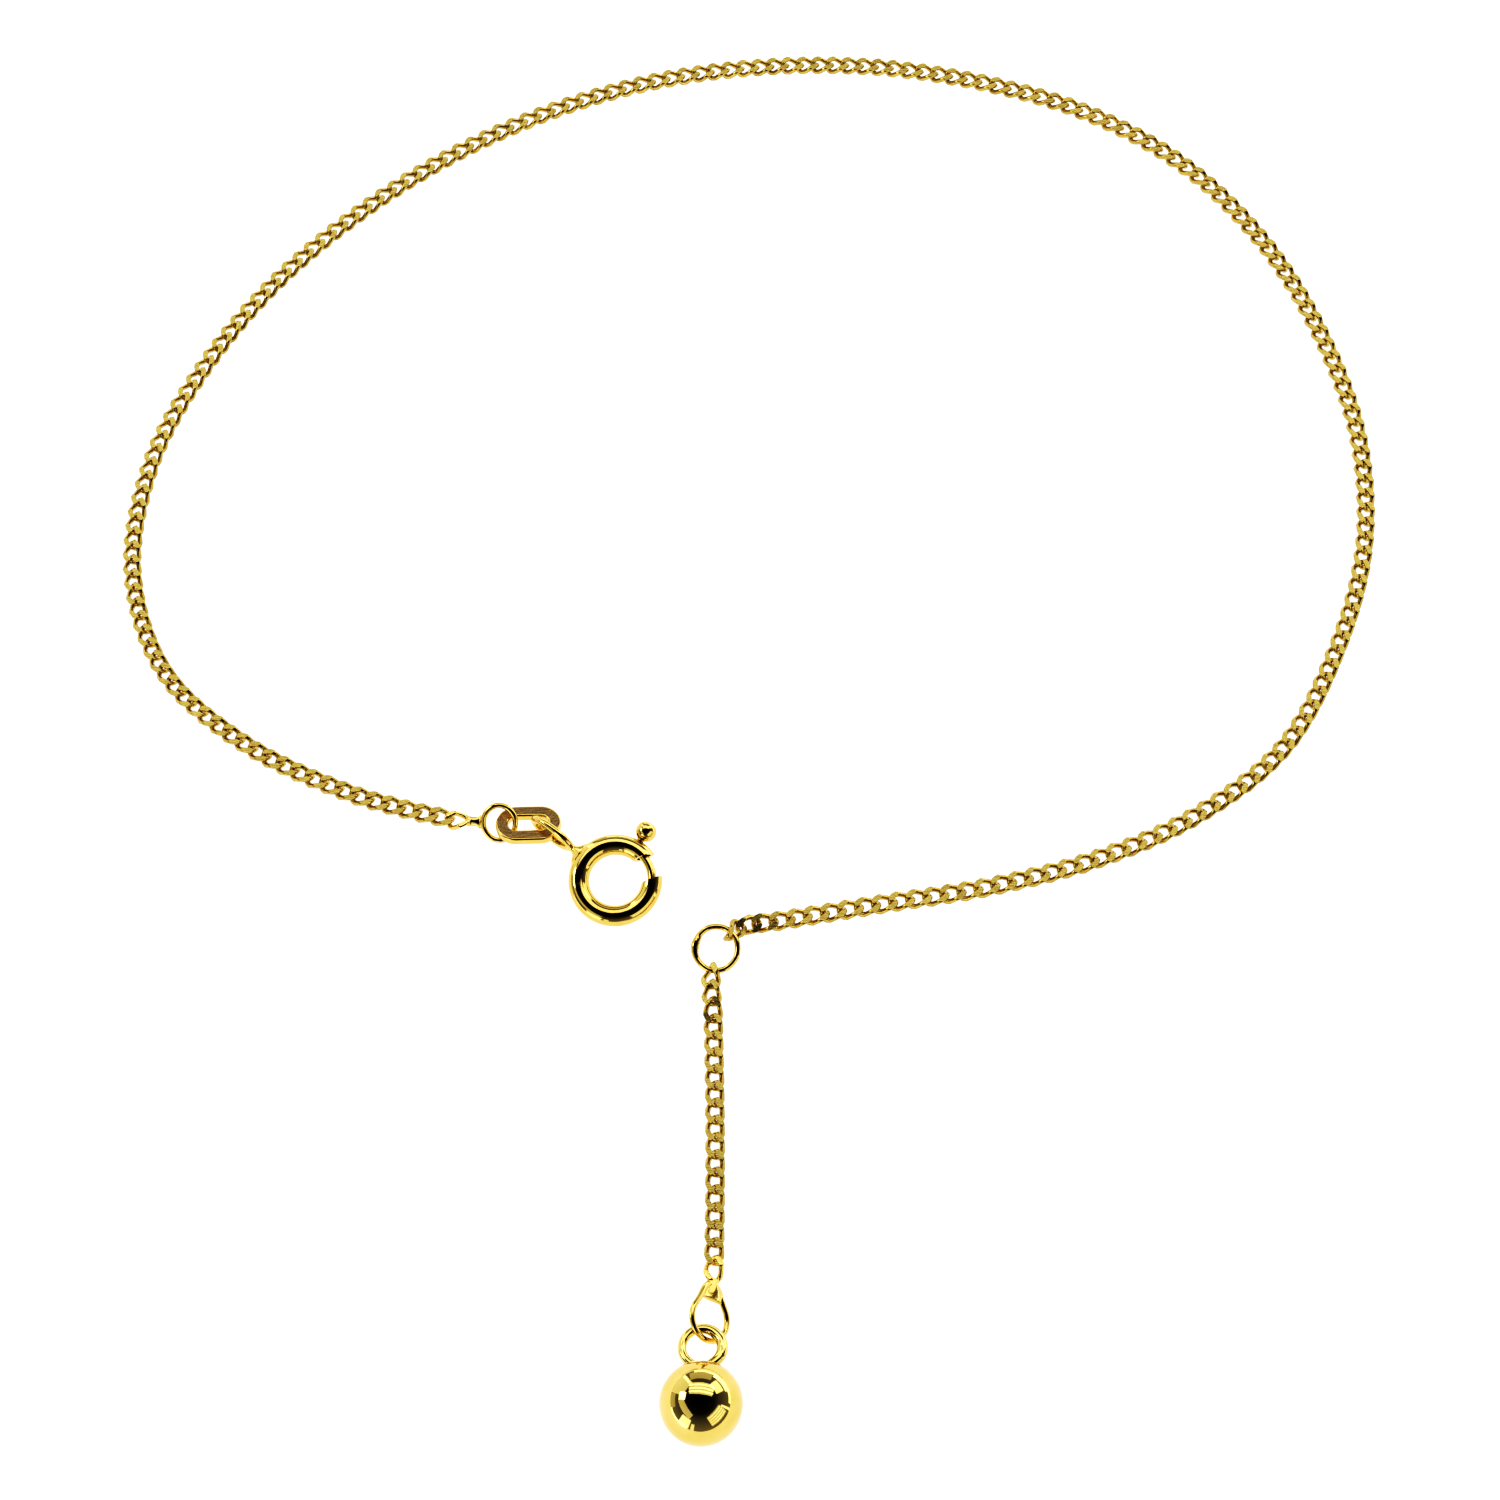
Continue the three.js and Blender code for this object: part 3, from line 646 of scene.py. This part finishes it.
# It lies turned in plan, sloping down to the clasp and rolled towards the viewer
OVAL_TURN = 2
OVAL_SLOPE = -3
OVAL_ROLL = -14
# The faces' brushing is real; their dark brown is painted shade for the dark room they reflect, while the
# edges keep the polished gold
BRUSHED_SHADED_DEEP = (0.36, 0.24, 0.11, 1)
BRUSHED_SHADED_PALE = (0.46, 0.32, 0.15, 1)

bpy.ops.object.select_all(action="DESELECT")
bpy.ops.mesh.primitive_circle_add(vertices=48, radius=OVAL_WIDTH / 2, fill_type="NGON")
oval_link = bpy.context.object
oval_link.name = "stamped_oval"
for vertex in oval_link.data.vertices:
    side = 1 if vertex.co.x > 0 else -1
    vertex.co.x += side * (OVAL_LENGTH - OVAL_WIDTH) / 2
bpy.ops.object.mode_set(mode="EDIT")
bpy.ops.mesh.select_all(action="SELECT")
bpy.ops.mesh.inset(thickness=OVAL_BAND, depth=0)
bpy.ops.mesh.delete(type="FACE")
bpy.ops.mesh.select_all(action="SELECT")
bpy.ops.mesh.extrude_region_move(TRANSFORM_OT_translate={"value": (0, 0, OVAL_THICKNESS)})
bpy.ops.mesh.select_all(action="SELECT")
bpy.ops.transform.translate(value=(0, 0, -OVAL_THICKNESS / 2))
bpy.ops.mesh.normals_make_consistent(inside=False)
bpy.ops.object.mode_set(mode="OBJECT")
oval_rounding = oval_link.modifiers.new("rounding", "BEVEL")
oval_rounding.width = OVAL_ROUNDING
oval_rounding.segments = 4
oval_rounding.limit_method = "ANGLE"
oval_rounding.angle_limit = math.radians(50)
bpy.ops.object.modifier_apply(modifier=oval_rounding.name)
bpy.ops.object.shade_smooth()
for face in oval_link.data.polygons:
    if abs(face.normal.z) > 0.995:
        face.use_smooth = False
        face.material_index = 1
set_at(oval_link, placement(OVAL_PLACE, OVAL_TURN, OVAL_SLOPE, OVAL_ROLL))

brushed_gold = ground_and_shaded_gold("brushed_gold", BRUSHED_SHADED_DEEP, BRUSHED_SHADED_PALE, roughness=0.16)
finished(oval_link, [connector_gold, brushed_gold], "anklet", ["oval_link"])


# Spring ring body
# A hollow tube bent into a ring and left open at the mouth, with a slot for the lever.
# A stem soldered to its side carries an oval bail of stout wire, which stands on edge.
CLASP_PLACE = (-8.374, -14.513, 0.960)
CLASP_TILT = 7.0
CLASP_RADIUS = 2.335
CLASP_TUBE = 1.33
CLASP_BORE = 0.86
MOUTH_WIDTH = 1.6
MOUTH_HEADING = 19.0
MOUTH_CUT = 2.6
LEVER_HEADING = 58.7
LEVER_TRAVEL = 41.0
# The slot is cut in this many steps, each as wide along the tube as the stalk needs
SLOT_CUTS = 5
SLOT_SIZE = (0.8, 0.62, 0.62)
SLOT_OUT = 0.6
CLASP_GRAIN = 0.042
CLASP_POLISH = 12
CLASP_GOLD_DEEP = (0.75, 0.55, 0.16, 1)
CLASP_GOLD_PALE = (0.83, 0.64, 0.23, 1)
BAIL_PLACE = (-12.481, -11.315, 1.07)
BAIL_HEADING = -37.9
BAIL_LENGTH = 3.47
BAIL_WIDTH = 2.12
BAIL_WIRE = 0.49
BAIL_ROLL = 86
# Distance from the bail's middle, half width and half height
BAIL_STEM = [
    (1.42, 0.24, 0.24), (1.62, 0.26, 0.26), (1.80, 0.27, 0.27), (1.95, 0.36, 0.32),
    (2.08, 0.56, 0.38), (2.22, 0.80, 0.44), (2.38, 1.00, 0.48),
]


def cut_away(piece, cutter):
    cut = piece.modifiers.new("cut", "BOOLEAN")
    cut.operation = "DIFFERENCE"
    cut.solver = "EXACT"
    cut.object = cutter
    bpy.ops.object.select_all(action="DESELECT")
    piece.select_set(True)
    bpy.context.view_layer.objects.active = piece
    bpy.ops.object.modifier_apply(modifier=cut.name)
    bpy.data.objects.remove(cutter)


def plain_torus(radius, wire, around, sides):
    bpy.ops.object.select_all(action="DESELECT")
    bpy.ops.mesh.primitive_torus_add(
        major_radius=radius,
        minor_radius=wire / 2,
        major_segments=around,
        minor_segments=sides,
    )
    return bpy.context.object


def block(size, place):
    bpy.ops.object.select_all(action="DESELECT")
    bpy.ops.mesh.primitive_cube_add(size=1, scale=size)
    cube = bpy.context.object
    bpy.ops.object.transform_apply(location=True, rotation=True, scale=True)
    return set_at(cube, place)


to_level = placement(CLASP_PLACE, 0, 0, CLASP_TILT).inverted()
clasp_tube = plain_torus(CLASP_RADIUS, CLASP_TUBE, 96, 32)
bail_loop = set_at(
    wire_loop(BAIL_LENGTH, BAIL_WIDTH, BAIL_WIRE, 16, 10),
    to_level @ placement(BAIL_PLACE, BAIL_HEADING, 0, BAIL_ROLL),
)
bail_stem = set_at(turned(BAIL_STEM), to_level @ placement(BAIL_PLACE, BAIL_HEADING))
spring_ring = soldered("spring_ring", [clasp_tube, bail_loop, bail_stem], CLASP_GRAIN, CLASP_POLISH)
mouth_place = placement((0, 0, 0), MOUTH_HEADING) @ Matrix.Translation((CLASP_RADIUS, 0, 0))
cut_away(spring_ring, block((MOUTH_CUT, MOUTH_WIDTH, MOUTH_CUT), mouth_place))
for number in range(SLOT_CUTS):
    slot_heading = LEVER_HEADING + number * LEVER_TRAVEL / (SLOT_CUTS - 1)
    slot_place = placement((0, 0, 0), slot_heading) @ Matrix.Translation((CLASP_RADIUS + SLOT_OUT, 0, 0))
    cut_away(spring_ring, block(SLOT_SIZE, slot_place))
cut_away(spring_ring, plain_torus(CLASP_RADIUS, CLASP_BORE, 96, 20))
bpy.ops.object.shade_smooth_by_angle(angle=math.radians(40))
set_at(spring_ring, placement(CLASP_PLACE, 0, 0, CLASP_TILT))
clasp_gold = gold("clasp_gold", CLASP_GOLD_DEEP, CLASP_GOLD_PALE, roughness=0.05, marks=0.07, bump=0.05)
finished(spring_ring, [clasp_gold], "anklet", ["spring_ring_body"])


# Spring ring bolt
# A curved tongue that closes the mouth from inside the tube, and the lever that draws it back:
# a short stalk through the slot with a round thumb knob, tapered to a small flat end.
BOLT_WIRE = 0.57
BOLT_START = -5.0
BOLT_END = 74.0
# Distance from the ring's middle, half width and half height of the stalk and the knob
KNOB_STATIONS = [
    (2.335, 0.24, 0.22), (3.04, 0.24, 0.22), (3.12, 0.30, 0.30), (3.17, 0.40, 0.40),
    (3.26, 0.51, 0.51), (3.39, 0.60, 0.60), (3.56, 0.655, 0.655), (3.74, 0.67, 0.67),
    (3.93, 0.645, 0.645), (4.10, 0.56, 0.56), (4.21, 0.45, 0.45), (4.275, 0.32, 0.32),
    (4.30, 0.16, 0.16),
]

bpy.ops.object.select_all(action="DESELECT")
bpy.ops.mesh.primitive_circle_add(
    vertices=20,
    radius=BOLT_WIRE / 2,
    fill_type="NGON",
    location=(CLASP_RADIUS, 0, 0),
    rotation=(math.pi / 2, 0, 0),
)
tongue = bpy.context.object
bpy.ops.object.transform_apply(location=True, rotation=True, scale=True)
set_at(tongue, placement((0, 0, 0), BOLT_START))
bpy.ops.object.mode_set(mode="EDIT")
bpy.ops.mesh.select_all(action="SELECT")
bpy.ops.mesh.spin(
    steps=26,
    dupli=False,
    angle=math.radians(BOLT_START - BOLT_END),
    center=(0, 0, 0),
    axis=(0, 0, 1),
)
bpy.ops.mesh.select_all(action="SELECT")
bpy.ops.mesh.remove_doubles(threshold=0.0001)
bpy.ops.mesh.normals_make_consistent(inside=False)
bpy.ops.object.mode_set(mode="OBJECT")
lever = set_at(turned(KNOB_STATIONS, 36), placement((0, 0, 0), LEVER_HEADING))
bolt = joined("bolt_and_lever", [tongue, lever])
bpy.ops.object.shade_smooth_by_angle(angle=math.radians(50))
set_at(bolt, placement(CLASP_PLACE, 0, 0, CLASP_TILT))
finished(bolt, [clasp_gold], "bolt", ["spring_ring_bolt"])


# Jump ring
# Plain round wire bent to a ring and closed with a touch of solder on its left side,
# which was never filed quite flush. It joins the chain and the extender.
JUMP_RING_PLACE = (-1.94, -19.12, 0.82)
JUMP_RING_WIRE = 0.37
JUMP_RING_LENGTH = 3.1
JUMP_RING_WIDTH = 3.2
JUMP_RING_TILT = 10
# Bearing, distance from the ring's middle and size of each touch of solder
JUMP_RING_SOLDER = [
    (146, 1.34, 0.22), (153, 1.33, 0.25), (160, 1.33, 0.27), (167, 1.34, 0.28), (174, 1.35, 0.29),
    (181, 1.35, 0.27), (188, 1.36, 0.26), (195, 1.37, 0.24), (202, 1.37, 0.22),
]

jump_loop = wire_loop(JUMP_RING_LENGTH, JUMP_RING_WIDTH, JUMP_RING_WIRE + POLISH_LOSS, 16, 14)
solder_touches = []
for bearing, out, size in JUMP_RING_SOLDER:
    bpy.ops.object.select_all(action="DESELECT")
    spot = placement((0, 0, 0), bearing) @ Vector((out, 0, 0))
    bpy.ops.mesh.primitive_uv_sphere_add(segments=16, ring_count=10, radius=size, location=spot)
    touch = bpy.context.object
    bpy.ops.object.transform_apply(location=True, rotation=True, scale=True)
    solder_touches.append(touch)
jump_ring = soldered("jump_ring", [jump_loop, *solder_touches], SOLDER_GRAIN, SOLDER_POLISH)
set_at(jump_ring, placement(JUMP_RING_PLACE, 0, 0, JUMP_RING_TILT))
finished(jump_ring, [connector_gold], "anklet", ["extender_jump_ring"])


# Ball end connector
# The extender's last link, soldered to a bigger ring that leans over on the table;
# the solder fills the corner between them and draws the ring's top out to a point.
BALL_CONNECTOR_HEADING = -94.0
BALL_CONNECTOR_SLOPE = 11.4
BALL_WEB_SLOPE = 14.0
BALL_CONNECTOR_ROLL = -43.0
BALL_CONNECTOR_PLACE = (-2.196, -42.315, 1.116)
BALL_CONNECTOR_RING = 3.09
BALL_CONNECTOR_RING_SLOPE = 4
# How far the ring's end is drawn out towards the link
BALL_CONNECTOR_DRAWN = (-0.75, 0.16, -0.18)
# How far the ring lifts the link off the table
BALL_LINK_LIFT = 0.22
# Distance from the link's middle, half width and half thickness of the web, and how it twists
BALL_CONNECTOR_WEB = [
    (0.62, 0.30, 0.15), (0.85, 0.35, 0.19), (1.10, 0.42, 0.20),
    (1.40, 0.60, 0.20), (1.70, 0.80, 0.19), (2.03, 0.98, 0.16),
]
BALL_CONNECTOR_TWISTS = [0, -8, -18, -28, -36, -43]

ball_link_place = (extender_end[0], extender_end[1], CHAIN_THICKNESS / 2 + BALL_LINK_LIFT)
ball_link = set_at(
    curb_link(FINE_SIDES, FINE_STEPS),
    placement(ball_link_place, BALL_CONNECTOR_HEADING, BALL_CONNECTOR_SLOPE),
)
ball_web = set_at(
    turned(BALL_CONNECTOR_WEB, twists=BALL_CONNECTOR_TWISTS),
    placement(ball_link_place, BALL_CONNECTOR_HEADING, BALL_WEB_SLOPE),
)
ball_loop = set_at(
    wire_loop(
        BALL_CONNECTOR_RING,
        BALL_CONNECTOR_RING,
        CONNECTOR_WIRE + POLISH_LOSS,
        16,
        14,
        drawn=BALL_CONNECTOR_DRAWN,
    ),
    placement(
        BALL_CONNECTOR_PLACE,
        BALL_CONNECTOR_HEADING,
        BALL_CONNECTOR_RING_SLOPE,
        BALL_CONNECTOR_ROLL,
    ),
)
ball_connector = soldered("ball_connector", [ball_loop, ball_link, ball_web], SOLDER_GRAIN, SOLDER_POLISH)
finished(ball_connector, [connector_gold], "anklet", ["ball_end_connector"])


# Ball drop
# A hollow ball of thin gold, polished like a mirror, with a ring of stout wire soldered to it.
# The ball rests on the table and the ring dips towards the connector that holds it.
BALL_DIAMETER = 4.9
BALL_PLACE = (-2.606, -47.519, 2.45)
BALL_RING_PLACE = (-2.606, -44.145, 1.6)
BALL_RING_DIP = 14.1
BALL_RING_SIZE = 2.96
BALL_RING_WIRE = 0.60
BALL_RING_SWELL = 0.14
# Distance from the ring's middle, half width and half thickness of the solder under it
BALL_SOLDER = [(-1.62, 0.70, 0.26), (-1.42, 0.62, 0.25), (-1.22, 0.50, 0.22)]
BALL_GOLD_DEEP = (0.77, 0.58, 0.18, 1)
BALL_GOLD_PALE = (0.82, 0.65, 0.24, 1)

bpy.ops.object.select_all(action="DESELECT")
bpy.ops.mesh.primitive_uv_sphere_add(
    segments=96,
    ring_count=64,
    radius=BALL_DIAMETER / 2,
    location=BALL_PLACE,
)
ball = bpy.context.object
bpy.ops.object.transform_apply(location=True, rotation=True, scale=True)
bpy.ops.object.shade_smooth()
ball_ring = set_at(
    wire_loop(BALL_RING_SIZE, BALL_RING_SIZE, BALL_RING_WIRE, 24, 16, swell=BALL_RING_SWELL),
    placement(BALL_RING_PLACE, 90, -BALL_RING_DIP),
)
ball_solder = set_at(
    turned(BALL_SOLDER),
    placement(BALL_RING_PLACE, 90, -BALL_RING_DIP),
)
ball_drop = joined("ball_and_ring", [ball, ball_ring, ball_solder])
ball_gold = gold("ball_gold", BALL_GOLD_DEEP, BALL_GOLD_PALE, roughness=0.03, marks=0.04, bump=0.03)
finished(ball_drop, [ball_gold], "anklet", ["ball_drop"])
